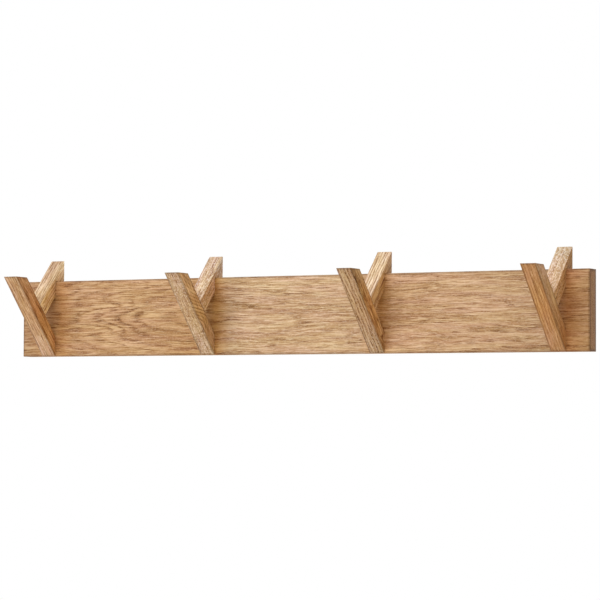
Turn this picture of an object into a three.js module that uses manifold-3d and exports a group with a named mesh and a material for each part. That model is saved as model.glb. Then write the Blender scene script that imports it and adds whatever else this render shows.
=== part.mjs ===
import * as THREE from 'three';
import { mergeVertices } from 'three/addons/utils/BufferGeometryUtils.js';
import { RoundedBoxGeometry } from 'three/addons/geometries/RoundedBoxGeometry.js';
import Module from 'manifold-3d';

// Wall coat rack: an oak backboard with a row of forked hooks.
// Each hook is a front arm that leans out from the board, and a rear arm that ties it back over
// the board's top edge. Millimetres: +Z is up, +X runs along the board, and the hooks reach
// towards -Y. The wall is the plane Y = 0, and the origin is the centre of the board's back face.

// Backboard
const boardLength = 800;
const boardHeight = 98;
const boardThickness = 20;
const boardEdgeRadius = 0.6;

// Hooks: leans are degrees from upright, and rises are above the board's top edge
const hookCount = 4;
const endMargin = 30;
const armWidth = 20;
const armThickness = 18;
const armEdgeRadius = 0.6;
const frontLean = 42.5;
const rearLean = 43.5;
const frontTopRise = 2;
const rearTopRise = 28;

// Fluted dowel from the rear arm's lower end into the front arm
const dowelDiameter = 8;
const dowelInRearArm = 20;
const dowelInFrontArm = 10;
const dowelChamfer = 0.8;
const fluteCount = 12;
const fluteDepth = 0.35;

// Wood screws: those of the hooks go through the board, those of the hanger plates into it
const hookScrewDiameter = 4;
const hookScrewHead = 8;
const hookScrewSink = 0.4;
const hookScrewBite = 10;
const hookScrewThread = 18;
const plateScrewDiameter = 3.5;
const plateScrewHead = 6.8;
const plateScrewLength = 15;
const plateScrewThread = 10;
const headRim = 0.4;
const threadPitch = 2.4;
const threadDepth = 0.5;
const screwTipLength = 3;
const recessDepth = 1.6;
const recessLength = 4;
const recessWidth = 1;

// Keyhole hanger plates, let into the board's back
const plateWidth = 18;
const plateLength = 54;
const plateThickness = 2;
const plateSink = 0.3;
const plateRise = 6;
const plateScrewMargin = 6.5;
const keyholeEntry = 10;
const keyholeSlot = 5;
const keyholeTravel = 10;
const headPocketWidth = 13;
const headPocketDepth = 8;

// Clearances
const gluedGap = 0.3;
const fastenerClearance = 0.3;
const plateClearance = 0.3;
const cutOverrun = 1;

// Facets of round shapes
const edgeSegments = 2;
const boreSides = 24;
const screwSides = 12;
const outlineSegments = 8;

// Levels and spacings that follow from the sizes
const boardTop = boardHeight / 2;
const boardBottom = -boardHeight / 2;
const boardFront = -boardThickness;
const frontTop = boardTop + frontTopRise;
const rearTop = boardTop + rearTopRise;
const hookPitch = (boardLength - 2 * endMargin - armWidth) / (hookCount - 1);
const firstHookX = -boardLength / 2 + endMargin + armWidth / 2;
const hookScrewLength = boardThickness - hookScrewSink + hookScrewBite;
const beyond = boardHeight + rearTopRise + boardThickness + 2 * armThickness;

// Side view of a hook, as (Y, Z): the way each arm runs upwards, and the way across it that
// goes from its outer face into the wood
const frontAngle = THREE.MathUtils.degToRad(frontLean);
const rearAngle = THREE.MathUtils.degToRad(rearLean);
const frontRun = new THREE.Vector2(-Math.sin(frontAngle), Math.cos(frontAngle));
const frontInwards = new THREE.Vector2(Math.cos(frontAngle), Math.sin(frontAngle));
const rearRun = new THREE.Vector2(Math.sin(rearAngle), Math.cos(rearAngle));
const rearInwards = new THREE.Vector2(Math.cos(rearAngle), -Math.sin(rearAngle));
const footTip = new THREE.Vector2(boardFront, boardBottom);
const rearTip = new THREE.Vector2(0, rearTop);

const oakBoard = new THREE.MeshStandardMaterial({ color: '#c39c76', roughness: 0.62, metalness: 0 });
const oakArm = new THREE.MeshStandardMaterial({ color: '#bd9367', roughness: 0.6, metalness: 0 });
const beech = new THREE.MeshStandardMaterial({ color: '#d8b48a', roughness: 0.7, metalness: 0 });
const zincSteel = new THREE.MeshStandardMaterial({ color: '#b9bcc0', roughness: 0.35, metalness: 1 });
const yellowSteel = new THREE.MeshStandardMaterial({ color: '#c7a85c', roughness: 0.35, metalness: 1 });

const wasm = await Module();
wasm.setup();

// A closed solid from a three.js geometry. Triangles that close up at a lathe's axis are left out.
function solid(geometry) {
  const bare = geometry.clone();
  bare.deleteAttribute('normal');
  bare.deleteAttribute('uv');
  const merged = mergeVertices(bare);
  const corners = [];
  for (let i = 0; i < merged.index.count; i += 3) {
    const [a, b, c] = [0, 1, 2].map((k) => merged.index.getX(i + k));
    if (a !== b && b !== c && c !== a) corners.push(a, b, c);
  }
  return new wasm.Manifold(new wasm.Mesh({
    numProp: 3,
    vertProperties: new Float32Array(merged.attributes.position.array),
    triVerts: new Uint32Array(corners),
  }));
}

// A flat-shaded three.js geometry from a solid
function facets(body) {
  const { vertProperties, triVerts } = body.getMesh();
  const geometry = new THREE.BufferGeometry();
  geometry.setAttribute('position', new THREE.BufferAttribute(vertProperties, 3));
  geometry.setIndex(new THREE.BufferAttribute(triVerts, 1));
  const flat = geometry.toNonIndexed();
  flat.computeVertexNormals();
  return flat;
}

function named(name, geometry, material) {
  const mesh = new THREE.Mesh(geometry, material);
  mesh.name = name;
  return mesh;
}

// Outlines
function roundedRectangle(width, height, radius) {
  const x = width / 2 - radius;
  const y = height / 2 - radius;
  const quarter = Math.PI / 2;
  const outline = new THREE.Shape();
  outline.absarc(x, y, radius, 0, quarter);
  outline.absarc(-x, y, radius, quarter, 2 * quarter);
  outline.absarc(-x, -y, radius, 2 * quarter, 3 * quarter);
  outline.absarc(x, -y, radius, 3 * quarter, 4 * quarter);
  return outline;
}

function roundEnded(width, length) {
  const radius = width / 2;
  const y = length / 2 - radius;
  const outline = new THREE.Shape();
  outline.absarc(0, y, radius, 0, Math.PI);
  outline.absarc(0, -y, radius, Math.PI, 2 * Math.PI);
  return outline;
}

// The keyhole's entry is below and its slot above, with the plate's centre midway
function keyhole() {
  const entry = keyholeEntry / 2;
  const slot = keyholeSlot / 2;
  const halfNeck = Math.asin(slot / entry);
  const up = Math.PI / 2;
  const outline = new THREE.Path();
  outline.absarc(0, keyholeTravel / 2, slot, 0, Math.PI);
  outline.absarc(0, -keyholeTravel / 2, entry, up + halfNeck, up - halfNeck + 2 * Math.PI);
  return outline;
}

function flutedCircle(radius) {
  const outline = new THREE.Shape();
  for (let i = 0; i < 2 * fluteCount; i += 1) {
    const angle = i * Math.PI / fluteCount;
    const reach = i % 2 ? radius - fluteDepth : radius;
    if (i === 0) outline.moveTo(reach, 0);
    else outline.lineTo(reach * Math.cos(angle), reach * Math.sin(angle));
  }
  return outline;
}

// An outline of the back view, as (X, Z), cut from the plane Y = 0 to a depth in -Y
function cutFromBack(outline, depth, overrun = 0) {
  const options = { depth: depth + overrun, bevelEnabled: false, curveSegments: outlineSegments };
  return new THREE.ExtrudeGeometry(outline, options).rotateX(Math.PI / 2).translate(0, overrun, 0);
}

// A countersunk wood screw along Y: the head's flat top at Y = 0 and the point at -length
function screwGeometry(diameter, head, length, threadLength) {
  const shank = diameter / 2;
  const root = shank - threadDepth;
  const profile = [new THREE.Vector2(0, -length)];
  const threadEnd = -length + threadLength;
  for (let y = -length + screwTipLength; y + threadPitch <= threadEnd; y += threadPitch) {
    profile.push(new THREE.Vector2(root, y));
    profile.push(new THREE.Vector2(shank, y + threadPitch / 2));
  }
  profile.push(new THREE.Vector2(root, threadEnd));
  profile.push(new THREE.Vector2(shank, threadEnd + threadDepth));
  profile.push(new THREE.Vector2(shank, -headRim - (head / 2 - shank)));
  profile.push(new THREE.Vector2(head / 2, -headRim));
  profile.push(new THREE.Vector2(head / 2, 0));
  profile.push(new THREE.Vector2(0, 0));
  return new THREE.LatheGeometry(profile, screwSides);
}

// A wood screw with a cross recess in its head
function screw(diameter, head, length, threadLength) {
  const body = solid(screwGeometry(diameter, head, length, threadLength));
  const cutHeight = recessDepth + cutOverrun;
  const arm = new THREE.BoxGeometry(recessLength, cutHeight, recessWidth);
  arm.translate(0, cutHeight / 2 - recessDepth, 0);
  const cross = solid(arm).add(solid(arm.clone().rotateY(Math.PI / 2)));
  return body.subtract(cross);
}

// The hole that a screw sits in, with clearance all round and open past its head
function screwHole(diameter, head, length) {
  const bore = diameter / 2 + fastenerClearance;
  const sink = head / 2 + fastenerClearance * Math.SQRT2;
  const profile = [
    new THREE.Vector2(0, -length - fastenerClearance),
    new THREE.Vector2(bore, -length - fastenerClearance),
    new THREE.Vector2(bore, -headRim - (sink - bore)),
    new THREE.Vector2(sink, -headRim),
    new THREE.Vector2(sink, cutOverrun),
    new THREE.Vector2(0, cutOverrun),
  ];
  return solid(new THREE.LatheGeometry(profile, boreSides));
}

// A straight bar with eased edges, far longer than an arm, that leans from upright by an angle
// about X. Its centre line passes through a point of the side view.
function leaningBar(angle, through) {
  const section = roundedRectangle(armWidth, armThickness, armEdgeRadius);
  const options = { depth: 2 * beyond, bevelEnabled: false, curveSegments: edgeSegments };
  const bar = new THREE.ExtrudeGeometry(section, options);
  bar.translate(0, 0, -beyond).rotateX(angle).translate(0, through.x, through.y);
  return solid(bar);
}

// A block of the side view that runs past the hook on both sides
function block(lowY, highY, lowZ, highZ) {
  const box = new THREE.BoxGeometry(2 * armWidth, highY - lowY, highZ - lowZ);
  return solid(box.translate(0, (lowY + highY) / 2, (lowZ + highZ) / 2));
}

// Everything on the outer side of the front arm's inner face, less the glued gap
function frontArmSpace() {
  const box = new THREE.BoxGeometry(2 * armWidth, beyond, 2 * beyond);
  const centre = footTip.clone().addScaledVector(frontInwards, armThickness + gluedGap - beyond / 2);
  return solid(box.rotateX(frontAngle).translate(0, centre.x, centre.y));
}

// Where the rear arm's centre line meets the front arm's inner face
function forkPoint() {
  const centreLine = rearTip.clone().addScaledVector(rearInwards, armThickness / 2);
  const depth = centreLine.clone().sub(footTip).dot(frontInwards) - armThickness;
  return centreLine.addScaledVector(rearRun, -depth / rearRun.dot(frontInwards));
}

// Places a geometry that is centred on the origin, and runs along Z, on the dowel's axis
function onDowelAxis(geometry) {
  const along = (dowelInRearArm - dowelInFrontArm) / 2;
  const centre = forkPoint().addScaledVector(rearRun, along);
  return geometry.rotateX(-rearAngle).translate(0, centre.x, centre.y);
}

function dowelGeometry() {
  const length = dowelInRearArm + dowelInFrontArm;
  const options = {
    depth: length - 2 * dowelChamfer,
    bevelThickness: dowelChamfer,
    bevelSize: dowelChamfer,
    bevelOffset: -dowelChamfer,
    bevelSegments: 1,
  };
  const dowel = new THREE.ExtrudeGeometry(flutedCircle(dowelDiameter / 2), options);
  return onDowelAxis(dowel.translate(0, 0, -options.depth / 2));
}

function dowelHole() {
  const radius = dowelDiameter / 2 + fastenerClearance;
  const length = dowelInRearArm + dowelInFrontArm + 2 * fastenerClearance;
  const hole = new THREE.CylinderGeometry(radius, radius, length, boreSides);
  return solid(onDowelAxis(hole.rotateX(Math.PI / 2)));
}

// The foot screw is midway between the foot's top edge, at the board, and the arm's outer face,
// at the screw's point
function footScrewZ() {
  const footHeight = armThickness / Math.sin(frontAngle);
  const outerFaceAtPoint = hookScrewBite / Math.tan(frontAngle);
  return boardBottom + (footHeight + outerFaceAtPoint) / 2;
}

// The top screw is midway between the rear arm's lower face, at the board, and its upper face,
// at the screw's point
function topScrewZ() {
  const upperFaceAtBoard = rearTop - boardThickness / Math.tan(rearAngle);
  const lowerFaceAtBoard = upperFaceAtBoard - armThickness / Math.sin(rearAngle);
  const upperFaceAtPoint = upperFaceAtBoard - hookScrewBite / Math.tan(rearAngle);
  return (lowerFaceAtBoard + upperFaceAtPoint) / 2;
}

function hookScrewHole(z) {
  return screwHole(hookScrewDiameter, hookScrewHead, hookScrewLength).translate([0, -hookScrewSink, z]);
}

function frontArm() {
  const centre = footTip.clone().addScaledVector(frontInwards, armThickness / 2);
  return leaningBar(frontAngle, centre)
    .intersect(block(-beyond, boardFront, -beyond, frontTop))
    .subtract(hookScrewHole(footScrewZ()))
    .subtract(dowelHole());
}

function rearArm() {
  const centre = rearTip.clone().addScaledVector(rearInwards, armThickness / 2);
  return leaningBar(-rearAngle, centre)
    .intersect(block(-beyond, 0, -beyond, beyond))
    .subtract(block(boardFront, cutOverrun, -beyond, boardTop))
    .subtract(frontArmSpace())
    .subtract(hookScrewHole(topScrewZ()))
    .subtract(dowelHole());
}

// Hanger plate: its outer face is just below the board's back, so that the board bears on the wall
function hangerPlate() {
  const outline = roundEnded(plateWidth, plateLength);
  outline.holes.push(keyhole());
  let plate = solid(cutFromBack(outline, plateThickness).translate(0, -plateSink, 0));
  for (const z of plateScrewLevels()) plate = plate.subtract(plateScrewHole(z));
  return plate;
}

// A plate has one screw near each end, this far from the plate's centre
function plateScrewLevels() {
  const reach = plateLength / 2 - plateScrewMargin;
  return [-reach, reach];
}

function plateScrewHole(z) {
  return screwHole(plateScrewDiameter, plateScrewHead, plateScrewLength).translate([0, -plateSink, z]);
}

// What a hanger plate takes out of the board: its seat, the pocket for the wall screw's head and
// the holes of its screws
function hangerPocket() {
  const seatOutline = roundEnded(plateWidth + 2 * plateClearance, plateLength + 2 * plateClearance);
  const headOutline = roundEnded(headPocketWidth, headPocketWidth + keyholeTravel);
  let pocket = solid(cutFromBack(seatOutline, plateSink + plateThickness, cutOverrun));
  pocket = pocket.add(solid(cutFromBack(headOutline, headPocketDepth, cutOverrun)));
  for (const z of plateScrewLevels()) pocket = pocket.add(plateScrewHole(z));
  return pocket;
}

function backboard(hookXs, plateXs) {
  const size = [boardLength, boardThickness, boardHeight];
  const blank = new RoundedBoxGeometry(...size, edgeSegments, boardEdgeRadius);
  let board = solid(blank.translate(0, -boardThickness / 2, 0));
  const hookHoles = hookScrewHole(footScrewZ()).add(hookScrewHole(topScrewZ()));
  for (const x of hookXs) board = board.subtract(hookHoles.translate([x, 0, 0]));
  for (const x of plateXs) board = board.subtract(hangerPocket().translate([x, 0, plateRise]));
  return board;
}

const hookXs = Array.from({ length: hookCount }, (_, i) => firstHookX + i * hookPitch);
const plateX = firstHookX + hookPitch / 2;
const plates = [{ side: 'left', x: plateX }, { side: 'right', x: -plateX }];

const rack = new THREE.Group();
rack.add(named('backboard', facets(backboard(hookXs, plates.map((plate) => plate.x))), oakBoard));

const frontArmShape = facets(frontArm());
const rearArmShape = facets(rearArm());
const dowelShape = facets(solid(dowelGeometry()));
const hookScrewShape = facets(screw(hookScrewDiameter, hookScrewHead, hookScrewLength, hookScrewThread));
hookXs.forEach((x, i) => {
  const hook = new THREE.Group();
  hook.position.x = x;
  hook.add(named(`front_arm_${i + 1}`, frontArmShape, oakArm.clone()));
  hook.add(named(`rear_arm_${i + 1}`, rearArmShape, oakArm.clone()));
  hook.add(named(`arm_dowel_${i + 1}`, dowelShape, beech.clone()));
  for (const [name, z] of [['foot', footScrewZ()], ['top', topScrewZ()]]) {
    const hookScrew = named(`${name}_screw_${i + 1}`, hookScrewShape, yellowSteel.clone());
    hookScrew.position.set(0, -hookScrewSink, z);
    hook.add(hookScrew);
  }
  rack.add(hook);
});

const plateShape = facets(hangerPlate());
const plateScrewBody = screw(plateScrewDiameter, plateScrewHead, plateScrewLength, plateScrewThread);
const plateScrewShape = facets(plateScrewBody);
for (const { side, x } of plates) {
  const hanger = new THREE.Group();
  hanger.position.set(x, 0, plateRise);
  hanger.add(named(`hanger_plate_${side}`, plateShape, zincSteel.clone()));
  plateScrewLevels().forEach((z, i) => {
    const level = ['lower', 'upper'][i];
    const plateScrew = named(`plate_screw_${side}_${level}`, plateScrewShape, zincSteel.clone());
    plateScrew.position.set(0, -plateSink, z);
    hanger.add(plateScrew);
  });
  rack.add(hanger);
}

export default rack;
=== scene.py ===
"""Looks of a wall coat rack in oak: a backboard with a row of forked hooks.

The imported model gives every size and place. The wooden pieces, the screws and the hanger plates
are rebuilt here with eased edges and round holes, and each has a procedural material.
Lengths are in metres, and the materials work in millimetres.
"""
import math

import bmesh
import bpy
from mathutils import Matrix, Vector


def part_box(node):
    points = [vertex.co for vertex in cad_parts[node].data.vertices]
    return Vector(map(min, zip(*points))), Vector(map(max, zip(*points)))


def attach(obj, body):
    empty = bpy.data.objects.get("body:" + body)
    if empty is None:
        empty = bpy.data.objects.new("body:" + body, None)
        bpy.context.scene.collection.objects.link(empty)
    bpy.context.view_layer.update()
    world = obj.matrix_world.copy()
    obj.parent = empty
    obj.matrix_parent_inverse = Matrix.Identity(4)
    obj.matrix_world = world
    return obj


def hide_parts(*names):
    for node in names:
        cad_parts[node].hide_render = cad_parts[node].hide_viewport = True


MM = 0.001

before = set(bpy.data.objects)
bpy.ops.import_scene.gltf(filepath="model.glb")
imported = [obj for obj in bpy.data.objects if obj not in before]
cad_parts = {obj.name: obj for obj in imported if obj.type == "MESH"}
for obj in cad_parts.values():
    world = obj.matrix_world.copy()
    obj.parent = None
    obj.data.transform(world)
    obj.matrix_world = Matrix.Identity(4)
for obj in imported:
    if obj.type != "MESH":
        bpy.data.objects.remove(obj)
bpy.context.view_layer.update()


# The nodes' numbers and sides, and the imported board
HOOKS = range(1, 5)
SIDES = ("left", "right")
BOARD_LOW, BOARD_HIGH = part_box("backboard")
BOARD_FRONT = BOARD_LOW.y


def node_centre(node):
    low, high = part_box(node)
    return (low + high) / 2


# Sizes that the nodes' boxes don't give
ARM_THICKNESS = 18 * MM
REAR_LEAN = math.radians(43.5)
GLUED_GAP = 0.3 * MM
CLEARANCE = 0.3 * MM
EDGE_EASING = 0.6 * MM
DOWEL_DIAMETER = 8 * MM
DOWEL_LENGTH = 30 * MM
DOWEL_CHAMFER = 0.8 * MM
FLUTES = 12
FLUTE_DEPTH = 0.35 * MM
FLUTE_SIDES = 8
HOOK_SHANK = 4 * MM
HOOK_THREAD = 18 * MM
PLATE_SHANK = 3.5 * MM
PLATE_THREAD = 10 * MM
HEAD_RIM = 0.4 * MM
TIP_LENGTH = 3 * MM
THREAD_PITCH = 2.4 * MM
THREAD_DEPTH = 0.5 * MM
# Rings of vertices in a turn of thread, the share of a turn that is flat between its crests, and
# the share of its depth that is left where it meets the plain shank
THREAD_ROWS = 8
THREAD_FLAT = 0.375
THREAD_END = 0.4
RECESS_LENGTH = 4 * MM
RECESS_WIDTH = 1 * MM
RECESS_DEPTH = 1.6 * MM
RECESS_TAPER = 0.55
KEYHOLE_ENTRY = 10 * MM
KEYHOLE_SLOT = 5 * MM
KEYHOLE_TRAVEL = 10 * MM
POCKET_WIDTH = 13 * MM
POCKET_DEPTH = 8 * MM
PLATE_RIM = 0.25 * MM
# How far a cutter reaches past the face that it opens
OVERRUN = 1 * MM
ROUND_SIDES = 48
EDGE_SEGMENTS = 3
RIM_SEGMENTS = 2
SHARP_ANGLE = math.radians(35)


def new_mesh(name, bm):
    """A mesh whose creases stay sharp while everything else is shaded smooth."""
    mesh = bpy.data.meshes.new(name)
    bm.normal_update()
    bm.to_mesh(mesh)
    bm.free()
    mesh.polygons.foreach_set("use_smooth", [True] * len(mesh.polygons))
    mesh.set_sharp_from_angle(angle=SHARP_ANGLE)
    return mesh


def new_piece(name, mesh, place, material, slot, *nodes):
    """An object at its place that rides with the rack and stands for its CAD nodes."""
    piece = bpy.data.objects.new(name, mesh)
    bpy.context.scene.collection.objects.link(piece)
    piece.location = place
    piece.data.materials.append(material)
    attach(piece, "root")
    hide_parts(*nodes)
    return piece


# Shapes


def extruded(points, step):
    """A flat outline of points, drawn out by a step."""
    bm = bmesh.new()
    face = bm.faces.new([bm.verts.new(point) for point in points])
    grown = bmesh.ops.extrude_face_region(bm, geom=[face])
    moved = [v for v in grown["geom"] if isinstance(v, bmesh.types.BMVert)]
    bmesh.ops.translate(bm, verts=moved, vec=step)
    bmesh.ops.recalc_face_normals(bm, faces=bm.faces)
    return bm


def prism(corners, half_width):
    """A side-view outline of (Y, Z) corners, drawn out along X to both sides."""
    return extruded([(-half_width, y, z) for y, z in corners], (2 * half_width, 0, 0))


def slab(outline, start, end):
    """A back-view outline of (X, Z) points between two depths."""
    return extruded([(x, start, z) for x, z in outline], (0, end - start, 0))


def ring_of(bm, y, radii):
    """A ring of vertices round Y, at equal angles and at their own radii."""
    angles = [2 * math.pi * k / len(radii) for k in range(len(radii))]
    places = [(r * math.cos(a), y, r * math.sin(a)) for r, a in zip(radii, angles)]
    return [bm.verts.new(place) for place in places]


def join_rings(bm, rings):
    """Faces from each ring to the next. A ring of one vertex closes an end."""
    sides = max(len(ring) for ring in rings)
    for lower, upper in zip(rings, rings[1:]):
        for k in range(sides):
            around = [lower[k % len(lower)], lower[(k + 1) % sides % len(lower)]]
            around += [upper[(k + 1) % sides % len(upper)], upper[k % len(upper)]]
            bm.faces.new(list(dict.fromkeys(around)))
    bmesh.ops.recalc_face_normals(bm, faces=bm.faces)


def turned(profile):
    """A shape of (radius, Y) points turned about Y. Its first and last points are on the axis."""
    bm = bmesh.new()
    rings = [ring_of(bm, y, [radius] * (ROUND_SIDES if radius else 1)) for radius, y in profile]
    join_rings(bm, rings)
    return bm


def arc(centre, radius, start, end):
    """Points of an arc, from one angle to another, whose centre is this far up."""
    steps = ROUND_SIDES // 2
    turns = [start + (end - start) * k / steps for k in range(steps + 1)]
    return [(radius * math.cos(a), centre + radius * math.sin(a)) for a in turns]


def round_ended(width, length):
    """The outline of a plate or pocket with half-round ends."""
    reach, radius = (length - width) / 2, width / 2
    return arc(reach, radius, 0, math.pi) + arc(-reach, radius, math.pi, 2 * math.pi)


def keyhole():
    """The entry below and the slot above, about the plate's centre."""
    half_neck = math.asin(KEYHOLE_SLOT / KEYHOLE_ENTRY)
    start = math.pi / 2 + half_neck
    slot = arc(KEYHOLE_TRAVEL / 2, KEYHOLE_SLOT / 2, 0, math.pi)
    entry = arc(-KEYHOLE_TRAVEL / 2, KEYHOLE_ENTRY / 2, start, start + 2 * (math.pi - half_neck))
    return slot + entry


def at_places(bm, places):
    """One shape repeated at each place."""
    shape = bpy.data.meshes.new("repeated")
    bm.to_mesh(shape)
    bm.clear()
    for place in places:
        shape.transform(Matrix.Translation(place))
        bm.from_mesh(shape)
        shape.transform(Matrix.Translation(-Vector(place)))
    return bm


def carved(name, bm, cutters, rim=0.0):
    """A mesh of a shape less its cutters. A rim says how far its edges are then eased."""
    body = bpy.data.objects.new(name, new_mesh(name, bm))
    extras = [body]
    for cutter in cutters:
        extra = bpy.data.objects.new("cutter", new_mesh("cutter", cutter))
        cut = body.modifiers.new("cut", "BOOLEAN")
        cut.object = extra
        cut.operation = "DIFFERENCE"
        cut.solver = "EXACT"
        extras.append(extra)
    if rim:
        bevel = body.modifiers.new("rim", "BEVEL")
        bevel.width = rim
        bevel.segments = RIM_SEGMENTS
        bevel.limit_method = "ANGLE"
    for extra in extras:
        bpy.context.scene.collection.objects.link(extra)
    evaluated = body.evaluated_get(bpy.context.evaluated_depsgraph_get())
    bm = bmesh.new()
    bm.from_mesh(evaluated.to_mesh())
    for extra in extras:
        bpy.data.objects.remove(extra)
    return new_mesh(name, bm)


def screw_hole(shank, head, length):
    """The hole that a screw sits in, open past its head."""
    bore = shank / 2 + CLEARANCE
    sink = head / 2 + CLEARANCE * math.sqrt(2)
    return turned([
        (0, -length - CLEARANCE),
        (bore, -length - CLEARANCE),
        (bore, bore - sink - HEAD_RIM),
        (sink, -HEAD_RIM),
        (sink, OVERRUN),
        (0, OVERRUN),
    ])


def threaded_rings(bm, shank, length, thread):
    """Rings of a helical thread that runs from the screw's point to its plain shank."""
    rings = [ring_of(bm, -length, [0.0])]
    count = round(thread / THREAD_PITCH * THREAD_ROWS)
    for row in range(1, count + 1):
        along = thread * row / count
        tip = min(1.0, along / TIP_LENGTH)
        root = (shank / 2 - THREAD_DEPTH) * tip
        depth = THREAD_DEPTH * tip * min(1.0, THREAD_END + (thread - along) / THREAD_PITCH)
        radii = []
        for k in range(ROUND_SIDES):
            crest = 1 - 2 * abs((along / THREAD_PITCH + k / ROUND_SIDES) % 1 - 0.5)
            radii.append(root + depth * max(0.0, (crest - THREAD_FLAT) / (1 - THREAD_FLAT)))
        rings.append(ring_of(bm, along - length, radii))
    return rings


def cross_recess():
    """A cross-shaped pit that narrows as it deepens."""
    reach, half = RECESS_LENGTH / 2, RECESS_WIDTH / 2
    quarter = [(reach, -half), (reach, half), (half, half)]
    outline = []
    for k in range(4):
        c, s = round(math.cos(k * math.pi / 2)), round(math.sin(k * math.pi / 2))
        outline += [(c * x - s * z, s * x + c * z) for x, z in quarter]
    bm = bmesh.new()
    levels = ((-RECESS_DEPTH, RECESS_TAPER), (0, 1.0), (OVERRUN, 1.0))
    rings = [[bm.verts.new((x * k, y, z * k)) for x, z in outline] for y, k in levels]
    join_rings(bm, rings)
    bm.faces.new(rings[0])
    bm.faces.new(rings[-1])
    bmesh.ops.recalc_face_normals(bm, faces=bm.faces)
    return bm


def screw_mesh(name, shank, head, length, thread):
    """A countersunk wood screw along Y, with its head's flat top at Y = 0."""
    bm = bmesh.new()
    rings = threaded_rings(bm, shank, length, thread)
    plain = [
        (shank / 2, thread - length + THREAD_DEPTH),
        (shank / 2, (shank - head) / 2 - HEAD_RIM),
        (head / 2, -HEAD_RIM),
        (head / 2, 0),
    ]
    rings += [ring_of(bm, y, [radius] * ROUND_SIDES) for radius, y in plain]
    rings.append(ring_of(bm, 0, [0.0]))
    join_rings(bm, rings)
    return carved(name, bm, [cross_recess()])


def along_rear_arm():
    """Turns Y to the way that the rear arms lean."""
    return Matrix.Rotation(math.radians(90) - REAR_LEAN, 3, "X")


def dowel_mesh(name):
    """A fluted dowel that leans with the rear arm, about its own middle."""
    half = DOWEL_LENGTH / 2
    radius = DOWEL_DIAMETER / 2
    levels = (
        (-half, radius - DOWEL_CHAMFER),
        (DOWEL_CHAMFER - half, radius),
        (half - DOWEL_CHAMFER, radius),
        (half, radius - DOWEL_CHAMFER),
    )
    sides = FLUTE_SIDES * FLUTES
    angles = [2 * math.pi * k / sides for k in range(sides)]
    flutes = [FLUTE_DEPTH * (1 - abs(math.cos(FLUTES / 2 * a))) for a in angles]
    bm = bmesh.new()
    rings = [ring_of(bm, -half, [0.0])]
    rings += [ring_of(bm, y, [reach - flute for flute in flutes]) for y, reach in levels]
    rings.append(ring_of(bm, half, [0.0]))
    join_rings(bm, rings)
    bmesh.ops.rotate(bm, verts=bm.verts, matrix=along_rear_arm())
    return new_mesh(name, bm)


def dowel_hole():
    half = DOWEL_LENGTH / 2 + CLEARANCE
    radius = DOWEL_DIAMETER / 2 + CLEARANCE
    bm = turned([(0, -half), (radius, -half), (radius, half), (0, half)])
    bmesh.ops.rotate(bm, verts=bm.verts, matrix=along_rear_arm())
    return bm


def eased(bm):
    """The shape with every edge rounded."""
    bmesh.ops.bevel(
        bm,
        geom=list(bm.edges),
        offset=EDGE_EASING,
        segments=EDGE_SEGMENTS,
        profile=0.5,
        affect="EDGES",
        clamp_overlap=True,
    )
    return bm


def front_arm_outline(low, high):
    """Corners of a front arm, which leans from its foot's tip to the front of its level top."""
    lean = math.atan2(high.y - low.y, high.z - low.z)
    across, down = ARM_THICKNESS / math.cos(lean), ARM_THICKNESS / math.sin(lean)
    return lean, [
        (high.y, low.z),
        (low.y, high.z),
        (low.y + across, high.z),
        (high.y, low.z + down),
    ]


def rear_arm_outline(top, front_low, front_lean):
    """Corners of a rear arm, with the notch that sits over the board's top front corner."""
    run = Vector((math.sin(REAR_LEAN), math.cos(REAR_LEAN)))
    inwards = Vector((math.cos(REAR_LEAN), -math.sin(REAR_LEAN)))
    upper = Vector((0, top))
    lower = upper + inwards * ARM_THICKNESS
    front_inwards = Vector((math.cos(front_lean), math.sin(front_lean)))
    seat = Vector((BOARD_FRONT, front_low)) + front_inwards * (ARM_THICKNESS + GLUED_GAP)

    def at_seat(start):
        return start + run * ((seat - start).dot(front_inwards) / run.dot(front_inwards))

    def at_depth(y):
        return lower + run * ((y - lower.x) / run.x)

    board_top = BOARD_HIGH.z
    return [
        upper,
        at_seat(upper),
        at_seat(lower),
        at_depth(BOARD_FRONT),
        (BOARD_FRONT, board_top),
        lower + run * ((board_top - lower.y) / run.y),
        at_depth(0.0),
    ]


# Node graphs for the materials


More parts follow.
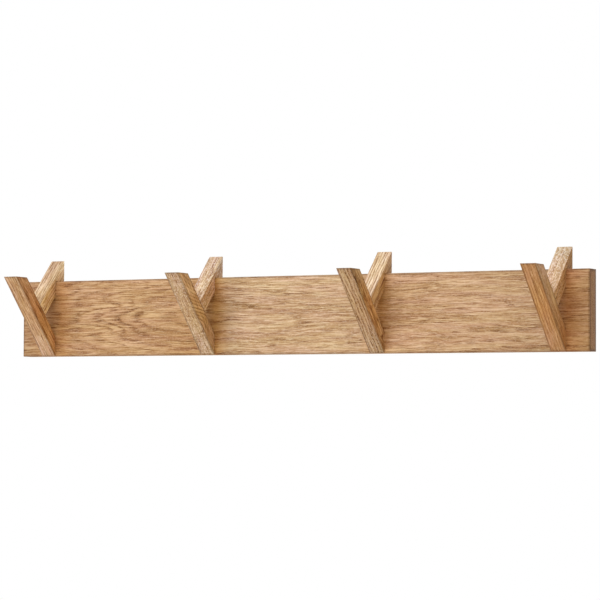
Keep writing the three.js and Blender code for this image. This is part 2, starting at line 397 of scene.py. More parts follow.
class Graph:
    """Short ways to add and join the nodes of a material or of the world."""

    def __init__(self, owner):
        owner.use_nodes = True
        self.owner = owner
        self.tree = owner.node_tree
        self.shader = self.tree.nodes.get("Principled BSDF")

    def node(self, kind, **settings):
        made = self.tree.nodes.new(kind)
        for name, value in settings.items():
            setattr(made, name, value)
        return made

    def join(self, value, socket):
        if isinstance(value, bpy.types.NodeSocket):
            self.tree.links.new(value, socket)
        else:
            socket.default_value = value

    def math(self, operation, *values):
        made = self.node("ShaderNodeMath", operation=operation)
        for i, value in enumerate(values):
            self.join(value, made.inputs[i])
        return made.outputs[0]

    def vector(self, x, y, z):
        made = self.node("ShaderNodeCombineXYZ")
        for i, value in enumerate((x, y, z)):
            self.join(value, made.inputs[i])
        return made.outputs[0]

    def split(self, vector):
        made = self.node("ShaderNodeSeparateXYZ")
        self.join(vector, made.inputs[0])
        return made.outputs

    def dot(self, vector, axis):
        made = self.node("ShaderNodeVectorMath", operation="DOT_PRODUCT")
        self.join(vector, made.inputs[0])
        made.inputs[1].default_value = axis
        return made.outputs["Value"]

    def scaled(self, vector, scales, shift=(0, 0, 0)):
        made = self.node("ShaderNodeVectorMath", operation="MULTIPLY_ADD")
        self.join(vector, made.inputs[0])
        made.inputs[1].default_value = scales
        made.inputs[2].default_value = shift
        return made.outputs[0]

    def noise(self, vector, detail=2.0, roughness=0.5, output="Fac"):
        made = self.node("ShaderNodeTexNoise", noise_dimensions="3D")
        self.join(vector, made.inputs["Vector"])
        made.inputs["Scale"].default_value = 1.0
        made.inputs["Detail"].default_value = detail
        made.inputs["Roughness"].default_value = roughness
        return made.outputs[output]

    def spread(self, value, low, high, to_low=0.0, to_high=1.0, smooth=False):
        """Maps low..high to to_low..to_high, and holds the ends."""
        made = self.node("ShaderNodeMapRange", clamp=True)
        if smooth:
            made.interpolation_type = "SMOOTHSTEP"
        for i, x in enumerate((value, low, high, to_low, to_high)):
            self.join(x, made.inputs[i])
        return made.outputs[0]

    def ramp(self, value, stops):
        """A colour between stops, each a place and a colour."""
        made = self.node("ShaderNodeValToRGB")
        self.join(value, made.inputs[0])
        points = made.color_ramp.elements
        while len(points) < len(stops):
            points.new(1.0)
        while len(points) > len(stops):
            points.remove(points[-1])
        for point, (at, colour) in zip(points, stops):
            point.position = at
            point.color = (*colour, 1.0)
        return made.outputs[0]

    def mix(self, share, first, second, blend="MIX"):
        """Two colours mixed. Inputs 6 and 7 and output 2 of the node are its colour sockets."""
        made = self.node("ShaderNodeMix", data_type="RGBA", blend_type=blend)
        self.join(share, made.inputs[0])
        for value, socket in ((first, made.inputs[6]), (second, made.inputs[7])):
            self.join((*value, 1.0) if isinstance(value, tuple) else value, socket)
        return made.outputs[2]

    def multiplied(self, colour, tint, share=1.0):
        return self.mix(share, colour, tint, "MULTIPLY")

    def bump(self, height, strength, distance):
        """Gives the shader a bumpy surface."""
        made = self.node("ShaderNodeBump")
        made.inputs["Strength"].default_value = strength
        made.inputs["Distance"].default_value = distance
        self.join(height, made.inputs["Height"])
        self.join(made.outputs[0], self.shader.inputs["Normal"])


# The tones of oak, from the dark of the pores to the pale of the dense wood, as linear colours
OAK_DARK = (0.24, 0.098, 0.028)
OAK_MID = (0.50, 0.285, 0.130)
OAK_PALE = (0.80, 0.56, 0.34)
PORE_SHADE = (0.45, 0.32, 0.20)
GLINT_TONE = (0.84, 0.62, 0.39)
RAY_TONE = (0.80, 0.60, 0.42)
YELLOWER = (0.99, 1.01, 0.94)
PINKER = (1.01, 0.99, 1.05)
END_GRAIN = (0.80, 0.83, 0.95)
OAK_ROUGHNESS = 0.44
OAK_SPECULAR = 0.2

# How far from an edge its darkening starts and is full, in mm
EDGE_REACH = (3.0, 0.9)
EDGE_SHADE = (0.69, 0.67, 0.65)
END_EDGE_REACH = (5.0, 1.5)
END_EDGE_SHADE = (0.72, 0.68, 0.66)

# How squarely a face must look along an axis to start and end counting as facing it
FACING_SIDE = (0.6, 0.8)
FACING_END = (0.80, 0.97)

# The sizes of the bends that the wood wanders and waves through, across and along the grain
WANDER_SIZES = (60, 60, 130)
WAVE_SIZES = (11, 11, 26)

# The brightness of a year's ring from its porous start to its dense end, and what counts as mean
RING_GREY = [(0.0, 0.16), (0.18, 0.28), (0.45, 0.66), (0.80, 0.82), (0.95, 0.60), (1.0, 0.16)]
RING_MEAN = 0.55
# The shares of a ring over which its porous part and the dark line at its start fade out, and how
# much the line varies from year to year
POROUS_PART = (0.60, 0.05)
LINE_PART = (0.22, 0.04)
LINE_YEARS = (0.35, 1.0)

# Layers of fibres: width and length in mm, place in the noise, its detail and its roughness
STREAK = (1.3, 36, 10, 3, 0.7)
PATCH = (16, 90, 0, 2, 0.6)
FLAME = (3.2, 50, 5, 2, 0.6)
PORE = (0.3, 4.5, 25, 1, 0.6)
HUE = (8, 42, 35, 1, 0.6)
DASH_WIDTH = 1.0
DASH_PLACE, GLINT_PLACE = 15, 20
DASH_DETAIL, DASH_ROUGHNESS = 2, 0.6
RAY_SIZES = (1.5, 1.5, 2.8)
RAY_PLACE, RAY_DETAIL, RAY_ROUGHNESS = 30, 2, 0.6

# The noise levels between which each layer goes from none to full, or the hue from end to end
DASH_LEVELS = (0.52, 0.63)
GLINT_LEVELS = (0.53, 0.64)
PORE_LEVELS = (0.56, 0.66)
RAY_LEVELS = (0.50, 0.62)
HUE_LEVELS = (0.35, 0.65)

# The share of the dashes and pores that only the porous part of a ring has
POROUS_DASHES = 0.6
POROUS_PORES = 0.7
# How strongly the pores shade the colour, what streaks and dashes add to the roughness, the depth
# of a dash next to a pore's, and the strength and depth of the bumps
PORE_DEPTH = 0.6
STREAK_ROUGHENING = 0.16
DASH_ROUGHENING = 0.12
DASH_HOLLOW = 0.5
GRAIN_BUMP = 0.35
GRAIN_HOLLOW = 0.1 * MM


def per(sizes):
    """The scales that give a noise these sizes."""
    return tuple(1 / size for size in sizes)


def nearest_edge(g, point, bounds):
    """The distance to the nearest edge: the second least of the distances to the pairs of planes
    that bound the piece. Each pair is an axis, its middle's place on it and half of its width."""
    reaches = []
    for axis, middle, half in bounds:
        off = g.math("SUBTRACT", g.dot(point, axis / MM), middle)
        reaches.append(g.math("SUBTRACT", half, g.math("ABSOLUTE", off)))
    first, second, third = reaches
    least = g.math("MINIMUM", first, second)
    most = g.math("MAXIMUM", first, second)
    return g.math("MAXIMUM", least, g.math("MINIMUM", most, third))


def swelling(g, y, z, at_y, at_z, height, width, length):
    """A value that is height at one place and falls away softly round it."""
    along = g.math("MULTIPLY_ADD", z, 1 / length, -at_z / length)
    over = g.math("MULTIPLY_ADD", y, 1 / width, -at_y / width)
    away = g.math("MULTIPLY_ADD", along, along, g.math("MULTIPLY", over, over))
    return g.math("MULTIPLY", g.math("EXPONENT", g.math("MULTIPLY", away, -1.0)), height)


def fibre_course(g, wood, point):
    """The fibres' place in the cross-section, which wanders and waves, and the waves."""
    seed, vector = wood["seed"], g.vector(*point)
    wander = g.noise(g.scaled(vector, per(WANDER_SIZES), (seed, 0, 0)), output="Color")
    wave = g.noise(g.scaled(vector, per(WAVE_SIZES), (0, seed, 0)), output="Color")
    wanders, waves = [g.split(g.scaled(v, (2, 2, 2), (-1, -1, -1))) for v in (wander, wave)]
    course = []
    for i, coordinate in enumerate(point[:2]):
        value = g.math("MULTIPLY_ADD", wanders[i], wood["wander"], coordinate)
        course.append(g.math("MULTIPLY_ADD", waves[i], wood["wave"], value))
    return course, waves


def pith_distance(g, wood, point, course, waves):
    """How far the wood is from the pith, which bows away along the grain on both sides of its
    peak and levels off beyond it."""
    y, z = point[1:]
    run = g.math("DIVIDE", g.math("SUBTRACT", z, wood["peak"]), wood["bow_length"])
    beyond = g.math("MULTIPLY_ADD", g.math("MAXIMUM", run, 0.0), wood["levelling"], 1.0)
    run = g.math("DIVIDE", run, beyond)
    rise = g.math("SUBTRACT", g.math("SQRT", g.math("MULTIPLY_ADD", run, run, 1.0)), 1.0)
    off_x, off_y = [
        g.math("SUBTRACT", value, g.math("MULTIPLY_ADD", rise, bow, pith))
        for value, bow, pith in zip(course, wood["bow"], wood["pith"])
    ]
    for swell in wood["swells"]:
        off_x = g.math("ADD", off_x, swelling(g, y, z, *swell))
    off_x = g.math("MULTIPLY_ADD", waves[0], wood["ring_wave"], off_x)
    off_y = g.math("MULTIPLY_ADD", waves[1], wood["ring_wave"], off_y)
    off_y = g.math("MULTIPLY", off_y, wood["oval"])
    return g.math("SQRT", g.math("MULTIPLY_ADD", off_x, off_x, g.math("MULTIPLY", off_y, off_y)))


def oak(name, wood, turn):
    """Oak, solid through the piece. x, y and z are the wood's own axes in mm: turn takes the
    world's axes to them, and z runs along the grain. The rings lie round the pith, at
    wood["pith"] in the piece's cross-section, and the fibres run with the grain."""
    g = Graph(bpy.data.materials.new(name))
    seed = wood["seed"]
    coords = g.node("ShaderNodeTexCoord")
    normal = coords.outputs["Normal"]
    across, depth, grain = turn.col[0], turn.col[1], turn.col[2]
    point = [g.dot(coords.outputs["Object"], axis / MM) for axis in (across, depth, grain)]
    x, y, z = point
    course, waves = fibre_course(g, wood, point)
    fibre = g.vector(*course, z)

    # Faces across x can have a figure of their own, and those towards +x a tint of their own.
    # Those faces lie in shade, and their tint is partly the wood's colour and partly painted light
    # and shade
    towards_x = g.dot(normal, across)
    facing_x = g.spread(g.math("ABSOLUTE", towards_x), *FACING_SIDE, smooth=True)
    towards_x = g.spread(towards_x, *FACING_SIDE, smooth=True)

    def depth_of(layer):
        face, side = wood[layer] if isinstance(wood[layer], tuple) else (wood[layer], wood[layer])
        return face if face == side else g.spread(facing_x, 0.0, 1.0, face, side)

    def fibres(width, length, place, detail, roughness):
        width *= wood["coarseness"]
        sizes = (width, width, length * wood["stretch"])
        return g.noise(g.scaled(fibre, per(sizes), (seed + place, place, seed)), detail, roughness)

    def dashes(place, levels):
        layer = fibres(DASH_WIDTH, wood["dash_length"], place, DASH_DETAIL, DASH_ROUGHNESS)
        return g.spread(layer, *levels, smooth=True)

    def mostly_porous(layer, share):
        return g.math("MULTIPLY", layer, g.math("MULTIPLY_ADD", porous, share, 1 - share))

    # Rings: porous and dark where each starts, then denser and paler, and frayed along the fibres
    streak = fibres(*STREAK)
    fray = g.math("MULTIPLY", g.math("SUBTRACT", streak, 0.5), wood["fray"])
    radius = pith_distance(g, wood, point, course, waves)
    phase = g.math("DIVIDE", g.math("ADD", radius, fray), wood["ring"])
    share = g.math("FRACT", phase)
    grey = g.ramp(share, [(at, (v, v, v)) for at, v in RING_GREY])
    year = g.node("ShaderNodeTexWhiteNoise", noise_dimensions="1D")
    g.join(g.math("ADD", g.math("FLOOR", phase), seed), year.inputs["W"])
    year = year.outputs["Value"]
    porous = g.spread(share, *POROUS_PART, smooth=True)
    line = g.spread(share, *LINE_PART, smooth=True)
    line = g.math("MULTIPLY", line, g.spread(year, *LINE_YEARS))
    rings = g.math("MULTIPLY", g.math("SUBTRACT", grey, RING_MEAN), depth_of("ring_depth"))
    rings = g.math("SUBTRACT", rings, g.math("MULTIPLY", line, depth_of("line_depth")))

    # The layers of the figure, round a middle tone
    figure = g.math("ADD", swelling(g, y, z, *wood["figure"]), 1 - wood["figure"][2])
    tone = g.math("MULTIPLY_ADD", rings, figure, 0.5)
    patch, flame = fibres(*PATCH), fibres(*FLAME)
    layers = {"year": year, "patch": patch, "flame": flame, "streak": streak}
    for layer, value in layers.items():
        value = g.math("SUBTRACT", value, 0.5)
        tone = g.math("MULTIPLY_ADD", value, depth_of(f"{layer}_depth"), tone)
    colour = g.ramp(tone, [(0.0, OAK_DARK), (0.5, OAK_MID), (1.0, OAK_PALE)])

    # Pale and dark dashes, pores and rays, and a hue that changes from place to place
    glint = dashes(GLINT_PLACE, GLINT_LEVELS)
    dash = mostly_porous(dashes(DASH_PLACE, DASH_LEVELS), POROUS_DASHES)
    pore = g.spread(fibres(*PORE), *PORE_LEVELS, smooth=True)
    pore = mostly_porous(pore, POROUS_PORES)
    ray = g.scaled(fibre, per(RAY_SIZES), (seed, RAY_PLACE, seed))
    ray = g.spread(g.noise(ray, RAY_DETAIL, RAY_ROUGHNESS), *RAY_LEVELS, smooth=True)
    colour = g.mix(g.math("MULTIPLY", glint, depth_of("glint_depth")), colour, GLINT_TONE)
    colour = g.multiplied(colour, PORE_SHADE, g.math("MULTIPLY", dash, depth_of("dash_depth")))
    colour = g.multiplied(colour, PORE_SHADE, g.math("MULTIPLY", pore, PORE_DEPTH))
    colour = g.mix(g.math("MULTIPLY", ray, depth_of("ray_depth")), colour, RAY_TONE)
    hue = g.mix(g.spread(fibres(*HUE), *HUE_LEVELS), YELLOWER, PINKER)
    colour = g.multiplied(colour, hue)

    # The tint changes along the grain, and faces towards +x and the board's back have their own.
    # Besides the wood's tone, the tints hold painted light and shade: on the faces towards +x,
    # which lie in shade, as painted warm shadows beside the hooks on the board, and as a painted
    # sheen on the rear arms' tops
    at = g.spread(z, *wood["tint_span"])
    side_tone_and_painted_light = g.ramp(at, wood["side_tone_and_painted_light"] or wood["tint"])
    tint = g.mix(towards_x, g.ramp(at, wood["tint"]), side_tone_and_painted_light)
    if wood["back_tint"]:
        back = g.math("MULTIPLY", facing_x, g.spread(x, *wood["back_span"], smooth=True))
        tint = g.mix(back, tint, wood["back_tint"])
    colour = g.multiplied(colour, tint)

    # Sawn ends and edges are darker
    end = g.spread(g.math("ABSOLUTE", g.dot(normal, grain)), *FACING_END, smooth=True)
    colour = g.mix(end, colour, g.multiplied(colour, END_GRAIN))
    if wood["edges"]:
        near = nearest_edge(g, coords.outputs["Object"], wood["edges"])
        edge = g.spread(near, *EDGE_REACH, smooth=True)
        colour = g.mix(edge, colour, g.multiplied(colour, EDGE_SHADE))
        edge = g.math("MULTIPLY", g.spread(near, *END_EDGE_REACH, smooth=True), end)
        colour = g.mix(edge, colour, g.multiplied(colour, END_EDGE_SHADE))
    g.join(colour, g.shader.inputs["Base Color"])

    rough = g.math("MULTIPLY_ADD", streak, STREAK_ROUGHENING, OAK_ROUGHNESS)
    rough = g.math("MULTIPLY_ADD", dash, DASH_ROUGHENING, rough)
    g.join(rough, g.shader.inputs["Roughness"])
    g.shader.inputs["Specular IOR Level"].default_value = OAK_SPECULAR
    height = g.math("MULTIPLY_ADD", pore, -1.0, g.math("MULTIPLY", dash, -DASH_HOLLOW))
    g.bump(height, GRAIN_BUMP, GRAIN_HOLLOW)
    return g.owner


# What a piece's wood is like. Lengths are in mm. A depth says how strongly a layer shows: one
# number, or one for the faces in general and one for the faces across the wood's x.
BASE_WOOD = {
    # The wood's own place in the noises
    "seed": 0.0,
    # The pith's place in the cross-section, how far it bows away and over what length, how soon
    # it levels off, and where on the grain it peaks
    "pith": (0.0, -60.0),
    "bow": (0.0, 0.0),
    "bow_length": 100.0,
    "levelling": 0.0,
    "peak": 0.0,
    # How far the fibres wander and wave, and the rings' own waves
    "wander": 2.0,
    "wave": 0.5,
    "ring_wave": 0.5,
    # Swellings of the rings: the place over and along the grain, height, width and length
    "swells": [],
    # How much the rings are squeezed, their width, and how far the fibres fray them
    "oval": 1.0,
    "ring": 3.6,
    "fray": 0.0,
    # Where the rings show in full, as a swelling; they lack its height elsewhere
    "figure": (0.0, 0.0, 0.0, 100.0, 100.0),
    # How wide and long the fibres are, next to the layers' own sizes
    "coarseness": 1.4,
    "stretch": 1.0,
    "ring_depth": 0.30,
    "line_depth": 0.2,
    "year_depth": 0.20,
    "patch_depth": 0.3,
    "flame_depth": 0.3,
    "streak_depth": 1.2,
    "glint_depth": 0.62,
    "dash_depth": 1.15,
    "ray_depth": 0.2,
    # The length of the pale and dark dashes
    "dash_length": 20.0,
    # The pairs of planes that bound the piece, where its edges are darker
    "edges": None,
    # The stretch of the grain that the tints' stops divide
    "tint_span": (-70.0, 70.0),
    "tint": [(0.0, (1.0, 1.0, 1.0))],
    # Colours for the faces towards +x, which lie in shade: partly the wood's own, partly painted
    # light
    "side_tone_and_painted_light": None,
    # An even tint for a back face, and the places on x between which it takes over. It keeps the
    # board's painted shadows off its back
    "back_tint": None,
    "back_span": (0.0, 0.0),
}

BOARD_WOOD = {
    "seed": 3.7,
    "pith": (-4.0, -3.0),
    "bow": (18.0, 0.0),
    "bow_length": 90.0,
    "levelling": 0.3,
    "peak": -130.0,
    "swells": [
        (16.0, -262.0, -10.0, 7.0, 50.0),
        (-14.0, -282.0, -9.0, 7.0, 46.0),
        (-22.0, -20.0, 4.0, 20.0, 45.0),
    ],
    "oval": 0.8,
    "coarseness": 1.0,
    "stretch": 1.8,
    "figure": (0.0, -255.0, 0.87, 26.0, 62.0),
    "ring_depth": 0.95,
    "wander": 4.5,
    "wave": 0.6,
    "ring_wave": 2.0,
    "ring": 5.5,
    "fray": 6.5,
    "line_depth": 0.5,
    "streak_depth": 1.9,
    "flame_depth": 0.1,
    "patch_depth": 0.25,
    "dash_depth": 1.0,
    "dash_length": 13.0,
    "glint_depth": 0.58,
    "tint_span": (-400.0, 400.0),
    # Tones along the board; the dips at 0.075, 0.365, 0.655 and 0.965, just right of the hooks,
    # are painted warm shadows, and the lift from 0.675 is painted light on the shade past hook 3
    "tint": [
        (0.01, (0.70, 0.69, 0.69)),
        (0.075, (0.80, 0.69, 0.53)),
        (0.10, (0.81, 0.81, 0.80)),
        (0.27, (0.81, 0.81, 0.80)),
        (0.34, (0.80, 0.76, 0.66)),
        (0.365, (0.75, 0.65, 0.42)),
        (0.39, (0.83, 0.92, 1.05)),
        (0.42, (0.91, 1.02, 1.18)),
        (0.62, (0.92, 1.03, 1.18)),
        (0.655, (0.85, 0.72, 0.46)),
        (0.675, (0.93, 0.96, 1.03)),
        (0.745, (0.85, 0.89, 0.97)),
        (0.93, (0.78, 0.83, 0.90)),
        (0.965, (0.72, 0.56, 0.40)),
        (0.99, (0.72, 0.68, 0.61)),
        (1.0, (0.68, 0.65, 0.58)),
    ],
    "back_tint": (0.84, 0.88, 0.92),
    "back_span": (-14.0, -6.0),
}

# Side tones of the shaded faces towards +x are partly the wood's colour, partly painted light
FRONT_WOODS = {
    1: {
        "seed": 11.3,
        "pith": (-70.0, -20.0),
        "streak_depth": (1.3, 1.6),
        "tint": [
            (0.15, (1.06, 1.16, 1.45)),
            (0.5, (0.98, 1.03, 1.07)),
            (0.85, (0.94, 0.97, 1.04)),
        ],
        "side_tone_and_painted_light": [
            (0.15, (1.15, 1.07, 0.88)),
            (0.5, (1.07, 0.96, 0.79)),
            (0.85, (1.01, 0.98, 0.96)),
        ],
    },
    2: {
        "seed": 23.9,
        "pith": (-12.0, -60.0),
        "bow": (0.0, -26.0),
        "bow_length": 16.0,
        "levelling": 0.15,
        "peak": -22.0,
        "figure": (0.0, -18.0, 0.8, 60.0, 44.0),
        "ring": 5.0,
        "ring_depth": (0.2, 0.7),
        "line_depth": (0.1, 1.1),
        "streak_depth": (1.4, 1.0),
        "wander": 1.0,
        "ray_depth": (0.7, 0.1),
        "tint": [
            (0.15, (0.89, 1.01, 1.22)),
            (0.5, (0.87, 0.94, 0.96)),
            (0.85, (0.87, 0.98, 1.16)),
        ],
        "side_tone_and_painted_light": [
            (0.15, (1.00, 1.09, 1.10)),
            (0.5, (1.14, 1.24, 1.18)),
            (0.85, (1.19, 1.37, 1.47)),
        ],
    },
    3: {
        "seed": 37.1,
        "pith": (-61.5, 6.0),
        "ring": 4.2,
        "ring_depth": (1.0, 0.8),
        "line_depth": (0.8, 0.8),
        "figure": (0.0, 32.0, 0.6, 60.0, 50.0),
        "ray_depth": (0.55, 0.1),
        "streak_depth": (1.4, 2.0),
        "ring_wave": 1.8,
        "wander": 4.0,
        "wave": 0.9,
        "tint": [
            (0.15, (0.77, 0.84, 0.92)),
            (0.5, (0.72, 0.71, 0.66)),
            (0.85, (0.74, 0.77, 0.79)),
        ],
        "side_tone_and_painted_light": [
            (0.15, (0.99, 1.02, 0.98)),
            (0.5, (1.37, 1.40, 1.20)),
            (0.85, (0.96, 1.11, 1.07)),
        ],
    },
    4: {
        "seed": 41.7,
        "pith": (-80.0, 14.0),
        "line_depth": 0.3,
        "wander": 1.0,
        "wave": 0.3,
        "streak_depth": 0.8,
        "dash_depth": 0.7,
        "glint_depth": 0.5,
        "tint": [
            (0.15, (0.81, 0.73, 0.66)),
            (0.5, (0.83, 0.72, 0.49)),
            (0.85, (0.82, 0.74, 0.64)),
        ],
        "side_tone_and_painted_light": [
            (0.15, (0.94, 0.84, 0.73)),
            (0.5, (1.09, 1.24, 1.31)),
            (0.85, (1.13, 1.38, 1.85)),
        ],
    },
}

# Rear tints are paler and bluer on the tops, partly paler wood and partly a painted sheen, and the
# side tones of the shaded faces towards +x are partly painted light and shade
REAR_WOODS = {
    1: {
        "seed": 53.3,
        "pith": (-70.0, 10.0),
        "streak_depth": 2.2,
        "tint": [(0.4, (1.00, 1.19, 1.32)), (0.75, (0.84, 0.96, 1.16))],
        "side_tone_and_painted_light": [
            (0.3, (1.40, 1.70, 1.70)),
            (0.5, (1.17, 1.26, 1.31)),
            (0.7, (1.52, 2.15, 3.20)),
        ],
    },
    2: {
        "seed": 61.9,
        "pith": (-60.0, -50.0),
        "ray_depth": 0.6,
        "tint": [(0.4, (0.95, 1.09, 1.33)), (0.75, (0.89, 1.06, 1.39))],
        "side_tone_and_painted_light": [
            (0.3, (1.05, 1.15, 1.26)),
            (0.5, (1.22, 1.28, 1.59)),
            (0.7, (1.11, 1.55, 2.68)),
        ],
    },
    3: {
        "seed": 71.1,
        "pith": (-70.0, -16.0),
        "ring_depth": 0.7,
        "line_depth": 0.6,
        "tint": [(0.4, (1.05, 1.26, 1.60)), (0.75, (1.03, 1.25, 1.60))],
        "side_tone_and_painted_light": [
            (0.3, (0.99, 1.05, 1.05)),
            (0.5, (0.97, 0.99, 0.87)),
            (0.7, (0.91, 1.05, 1.33)),
        ],
    },
    4: {
        "seed": 83.7,
        "pith": (-60.0, -50.0),
        "ray_depth": 0.7,
        "tint": [(0.4, (0.94, 1.03, 1.20)), (0.75, (0.81, 0.98, 1.30))],
        "side_tone_and_painted_light": [
            (0.3, (0.85, 0.85, 0.80)),
            (0.5, (0.84, 0.82, 0.74)),
            (0.7, (0.65, 0.59, 0.36)),
        ],
    },
}


def wood_of(own):
    return {**BASE_WOOD, **own}


BEECH_PALE = (0.68, 0.45, 0.27)
BEECH_DEEP = (0.60, 0.38, 0.22)
BEECH_FLECK = (0.45, 0.26, 0.13)
BEECH_ROUGHNESS = 0.6
BEECH_SPECULAR = 0.2
# Noises: their scales per mm, with beech's grain last, place, detail and roughness. The levels
# are the ones between which a noise goes from none to full.
FLECK = ((3, 3, 0.6), (0, 0, 0), 1, 0.5)
FLECK_LEVELS = (0.58, 0.66)
FLECK_DEPTH = 0.6
TONE = ((0.4, 0.4, 0.05), (7, 0, 0), 2, 0.5)
TONE_LEVELS = (0.3, 0.7)
CLOUD = ((0.25, 0.25, 0.25), (3, 1, 2), 4, 0.6)
CLOUD_LEVELS = (0.35, 0.65)
GRIT = ((3, 3, 3), (1, 2, 3), 2, 0.5)

ZINC = (0.62, 0.63, 0.65)
ZINC_DULL = (0.42, 0.43, 0.45)
YELLOW_ZINC = (0.72, 0.53, 0.20)
YELLOW_ZINC_DULL = (0.50, 0.38, 0.20)
STEEL_ROUGHNESS = 0.25
GRIT_ROUGHNESS = 0.2
GRIT_BUMP = 0.2
GRIT_HOLLOW = 0.05 * MM


def layer_of(g, point, scales, place, detail, roughness):
    return g.noise(g.scaled(point, scales, place), detail, roughness)


def make_beech():
    """Beech with the short dark flecks of its rays, which run with the dowel."""
    g = Graph(bpy.data.materials.new("beech"))
    coords = g.node("ShaderNodeTexCoord")
    turn = along_rear_arm()
    axes = [turn.col[k] / MM for k in (0, 2, 1)]
    point = g.vector(*[g.dot(coords.outputs["Object"], axis) for axis in axes])
    fleck = g.spread(layer_of(g, point, *FLECK), *FLECK_LEVELS, smooth=True)
    fleck = g.math("MULTIPLY", fleck, FLECK_DEPTH)
    tone = layer_of(g, point, *TONE)
    colour = g.mix(g.spread(tone, *TONE_LEVELS), BEECH_PALE, BEECH_DEEP)
    g.join(g.mix(fleck, colour, BEECH_FLECK), g.shader.inputs["Base Color"])
    g.shader.inputs["Roughness"].default_value = BEECH_ROUGHNESS
    g.shader.inputs["Specular IOR Level"].default_value = BEECH_SPECULAR
    return g.owner


def make_steel(name, bright, dull):
    """Plated steel whose plating is cloudy and a little worn."""
    g = Graph(bpy.data.materials.new(name))
    coords = g.node("ShaderNodeTexCoord")
    point = g.scaled(coords.outputs["Object"], (1 / MM, 1 / MM, 1 / MM))
    cloud = layer_of(g, point, *CLOUD)
    grit = layer_of(g, point, *GRIT)
    colour = g.mix(g.spread(cloud, *CLOUD_LEVELS), bright, dull)
    g.join(colour, g.shader.inputs["Base Color"])
    g.shader.inputs["Metallic"].default_value = 1.0
    rough = g.math("MULTIPLY_ADD", grit, GRIT_ROUGHNESS, STEEL_ROUGHNESS)
    g.join(rough, g.shader.inputs["Roughness"])
    g.bump(grit, GRIT_BUMP, GRIT_HOLLOW)
    return g.owner


# Pieces


def head_place(node):
    """The middle of a screw's head, at its flat top."""
    low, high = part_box(node)
    return Vector(((low.x + high.x) / 2, high.y, (low.z + high.z) / 2))


def screw_sizes(node):
    """A screw's head and length."""
    low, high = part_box(node)
    return high.x - low.x, high.y - low.y


def hook_screws():
    return [f"{level}_screw_{i}" for i in HOOKS for level in ("foot", "top")]


def plate_screws():
    return [f"plate_screw_{side}_{level}" for side in SIDES for level in ("lower", "upper")]


def make_backboard():
    """The board, with a seat and pocket for each plate and a hole for each screw. Its grain runs
    along the world's X, its wood's x along Y and its wood's y up."""
    low, high = BOARD_LOW, BOARD_HIGH
    corners = [(low.y, low.z), (low.y, high.z), (high.y, high.z), (high.y, low.z)]
    bm = eased(prism(corners, high.x))
    plate_low, plate_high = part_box("hanger_plate_left")
    width = plate_high.x - plate_low.x + 2 * CLEARANCE
    length = plate_high.z - plate_low.z + 2 * CLEARANCE
    seat = slab(round_ended(width, length), plate_low.y, OVERRUN)
    pocket = slab(round_ended(POCKET_WIDTH, POCKET_WIDTH + KEYHOLE_TRAVEL), -POCKET_DEPTH, OVERRUN)
    plates = [node_centre(f"hanger_plate_{side}") * Vector((1, 0, 1)) for side in SIDES]
    cutters = [at_places(seat, plates), at_places(pocket, plates)]
    for nodes, shank in ((hook_screws(), HOOK_SHANK), (plate_screws(), PLATE_SHANK)):
        hole = screw_hole(shank, *screw_sizes(nodes[0]))
        cutters.append(at_places(hole, [head_place(node) for node in nodes]))
    mesh = carved("backboard_oak", bm, cutters)
    turn = Matrix.Rotation(math.radians(90), 3, "Z") @ Matrix.Rotation(math.radians(90), 3, "X")
    axes = (Vector((1, 0, 0)), Vector((0, 1, 0)), Vector((0, 0, 1)))
    middles, halves = (low + high) / 2 / MM, (high - low) / 2 / MM
    edges = list(zip(axes, middles, halves))
    material = oak("oak_backboard", wood_of({**BOARD_WOOD, "edges": edges}), turn)
    new_piece("backboard_oak", mesh, (0, 0, 0), material, "backboard_oak", "backboard")


def make_arm(name, node, outline, lean, wood, screw, dark_edges=False):
    """An arm whose object lies at its middle. Its grain leans with it."""
    low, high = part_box(node)
    centre = (low + high) / 2
    half = (high - low) / 2
    turn = Matrix.Rotation(lean, 3, "X")
    if dark_edges:
        depths = [(Vector((centre.x, y, z)) - centre).dot(turn.col[1]) / MM for y, z in outline]
        least, most = min(depths), max(depths)
        edges = [
            (turn.col[0], 0.0, half.x / MM),
            (turn.col[1], (least + most) / 2, (most - least) / 2),
            (Vector((0, 0, 1)), 0.0, half.z / MM),
        ]
        wood = {**wood, "edges": edges}
    bm = eased(prism(outline, half.x))
    bmesh.ops.translate(bm, verts=bm.verts, vec=(0, -centre.y, -centre.z))
    dowel = node_centre("arm_dowel_" + node[-1])
    cutters = [
        at_places(dowel_hole(), [dowel - centre]),
        at_places(screw_hole(HOOK_SHANK, *screw_sizes(screw)), [head_place(screw) - centre]),
    ]
    mesh = carved(name, bm, cutters)
    material = oak(f"oak_{node}", wood_of(wood), turn)
    new_piece(name, mesh, centre, material, "hook_oak", node)


def make_hooks():
    beech = make_beech()
    steel = make_steel("yellow_zinc", YELLOW_ZINC, YELLOW_ZINC_DULL)
    screw = screw_mesh("hook_screw", HOOK_SHANK, *screw_sizes("foot_screw_1"), HOOK_THREAD)
    dowel = dowel_mesh("arm_dowel")
    for i in HOOKS:
        front_low, front_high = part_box(f"front_arm_{i}")
        lean, outline = front_arm_outline(front_low, front_high)
        name, node = f"front_arm_oak_{i}", f"front_arm_{i}"
        make_arm(name, node, outline, lean, FRONT_WOODS[i], f"foot_screw_{i}", dark_edges=True)
        rear_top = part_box(f"rear_arm_{i}")[1].z
        outline = rear_arm_outline(rear_top, front_low.z, lean)
        name, node = f"rear_arm_oak_{i}", f"rear_arm_{i}"
        make_arm(name, node, outline, -REAR_LEAN, REAR_WOODS[i], f"top_screw_{i}")
        node = f"arm_dowel_{i}"
        new_piece(f"arm_dowel_beech_{i}", dowel, node_centre(node), beech, "dowel_beech", node)
    for node in hook_screws():
        new_piece(f"{node}_steel", screw, head_place(node), steel, "hook_screw_steel", node)


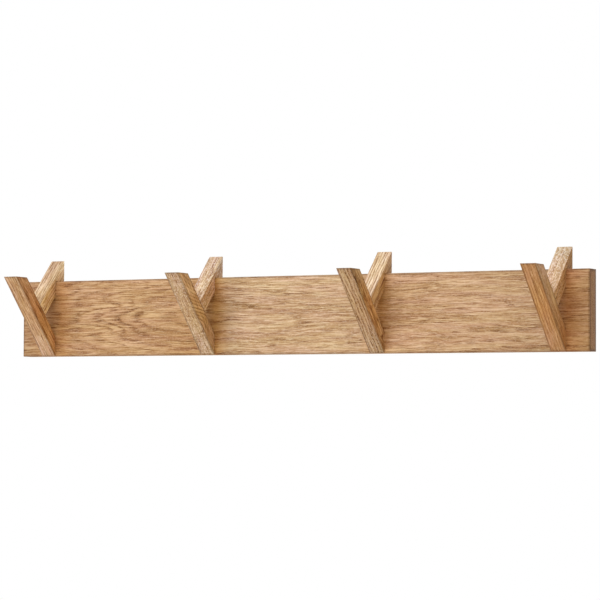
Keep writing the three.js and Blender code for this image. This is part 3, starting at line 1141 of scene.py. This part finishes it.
def make_hangers():
    steel = make_steel("zinc", ZINC, ZINC_DULL)
    low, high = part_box("hanger_plate_left")
    thickness = high.y - low.y
    plate = slab(round_ended(high.x - low.x, high.z - low.z), -thickness, 0)
    opening = slab(keyhole(), -thickness - OVERRUN, OVERRUN)
    nodes = plate_screws()
    sizes = screw_sizes(nodes[0])
    rise = node_centre("hanger_plate_left") * Vector((0, 0, 1))
    offsets = [head_place(node) * Vector((0, 0, 1)) - rise for node in nodes[:2]]
    holes = at_places(screw_hole(PLATE_SHANK, *sizes), offsets)
    plate = carved("hanger_plate", plate, [opening, holes], PLATE_RIM)
    screw = screw_mesh("plate_screw", PLATE_SHANK, *sizes, PLATE_THREAD)
    for side in SIDES:
        node = f"hanger_plate_{side}"
        new_piece(f"{node}_steel", plate, head_place(node), steel, "hanger_steel", node)
    for node in nodes:
        new_piece(f"{node}_steel", screw, head_place(node), steel, "hanger_steel", node)


# Stage, camera and light

CAMERA_PLACE = Vector((1.63819, -3.05332, -0.14001))
CAMERA_YAW = math.radians(28.192)
CAMERA_PITCH = math.radians(2.634)
CAMERA_ROLL = math.radians(0.269)
CAMERA_LENS = 165.954
CAMERA_SENSOR = 36
CAMERA_REACH = 100
FLOOR_DROP = 1.3
FLOOR_SIZE = 9.0
FLOOR_COLOUR = (0.86, 0.86, 0.86, 1)
FLOOR_ROUGHNESS = 0.9
# The world is white and brightest towards the upper left front, as a large diffuse window would
# be, and warmer and weaker away from it
WINDOW_WAY = Vector((-0.30, -0.86, 0.42)).normalized()
WORLD_LOW = 0.54
WORLD_HIGH = 1.4
WHITE = (1.0, 1.0, 1.0)
FILL_COLOUR = (1.0, 0.66, 0.30)
LAMP_COLOUR = (0.94, 1.0, 1.10)
# Square soft boxes that aim at the rack: place, width and power
KEY_LAMP = ((-1.7, -4.7, 2.0), 2.4, 60)
TOP_LAMP = ((-1.4, -0.9, 3.6), 2.2, 50)


def make_camera():
    camera = bpy.data.objects.new("camera", bpy.data.cameras.new("camera"))
    bpy.context.scene.collection.objects.link(camera)
    camera.data.sensor_width = CAMERA_SENSOR
    camera.data.lens = CAMERA_LENS
    camera.data.clip_end = CAMERA_REACH
    turn = Matrix.Rotation(CAMERA_YAW, 4, "Z")
    turn = turn @ Matrix.Rotation(math.radians(90) + CAMERA_PITCH, 4, "X")
    turn = turn @ Matrix.Rotation(CAMERA_ROLL, 4, "Z")
    camera.matrix_world = Matrix.Translation(CAMERA_PLACE) @ turn
    bpy.context.scene.camera = camera


def make_floor():
    bm = bmesh.new()
    bmesh.ops.create_grid(bm, x_segments=1, y_segments=1, size=FLOOR_SIZE / 2)
    mesh = bpy.data.meshes.new("floor")
    bm.to_mesh(mesh)
    bm.free()
    floor = bpy.data.objects.new("floor", mesh)
    floor.location = (0, 0, BOARD_LOW.z - FLOOR_DROP)
    bpy.context.scene.collection.objects.link(floor)
    g = Graph(bpy.data.materials.new("floor_paint"))
    g.shader.inputs["Base Color"].default_value = FLOOR_COLOUR
    g.shader.inputs["Roughness"].default_value = FLOOR_ROUGHNESS
    mesh.materials.append(g.owner)


def softbox(name, place, width, power):
    lamp = bpy.data.objects.new(name, bpy.data.lights.new(name, "AREA"))
    bpy.context.scene.collection.objects.link(lamp)
    lamp.data.shape = "SQUARE"
    lamp.data.size = width
    lamp.data.energy = power
    lamp.data.color = LAMP_COLOUR
    lamp.location = place
    lamp.rotation_euler = (-Vector(place)).to_track_quat("-Z", "Y").to_euler()
    lamp.visible_camera = False


def make_light():
    """The world's soft light, which the camera and mirrored rays see as white, and two lamps."""
    world = bpy.data.worlds.new("world")
    bpy.context.scene.world = world
    g = Graph(world)
    coords = g.node("ShaderNodeTexCoord")
    towards = g.dot(coords.outputs["Generated"], WINDOW_WAY)
    soft_light = g.spread(towards, 0.0, 1.0, WORLD_LOW, WORLD_HIGH)
    path = g.node("ShaderNodeLightPath")
    seen = g.math("MAXIMUM", path.outputs["Is Glossy Ray"], path.outputs["Is Transmission Ray"])
    seen = g.math("MAXIMUM", path.outputs["Is Camera Ray"], seen)
    unseen = g.math("SUBTRACT", 1.0, seen)
    strength = g.math("MAXIMUM", seen, g.math("MULTIPLY", soft_light, unseen))
    warmth = g.mix(g.spread(towards, 0.0, 1.0), FILL_COLOUR, WHITE)
    background = g.tree.nodes["Background"]
    g.join(g.mix(seen, warmth, WHITE), background.inputs["Color"])
    g.join(strength, background.inputs["Strength"])
    softbox("key", *KEY_LAMP)
    softbox("top", *TOP_LAMP)


bpy.context.scene.view_settings.view_transform = "Standard"
make_camera()
make_floor()
make_light()
make_backboard()
make_hooks()
make_hangers()
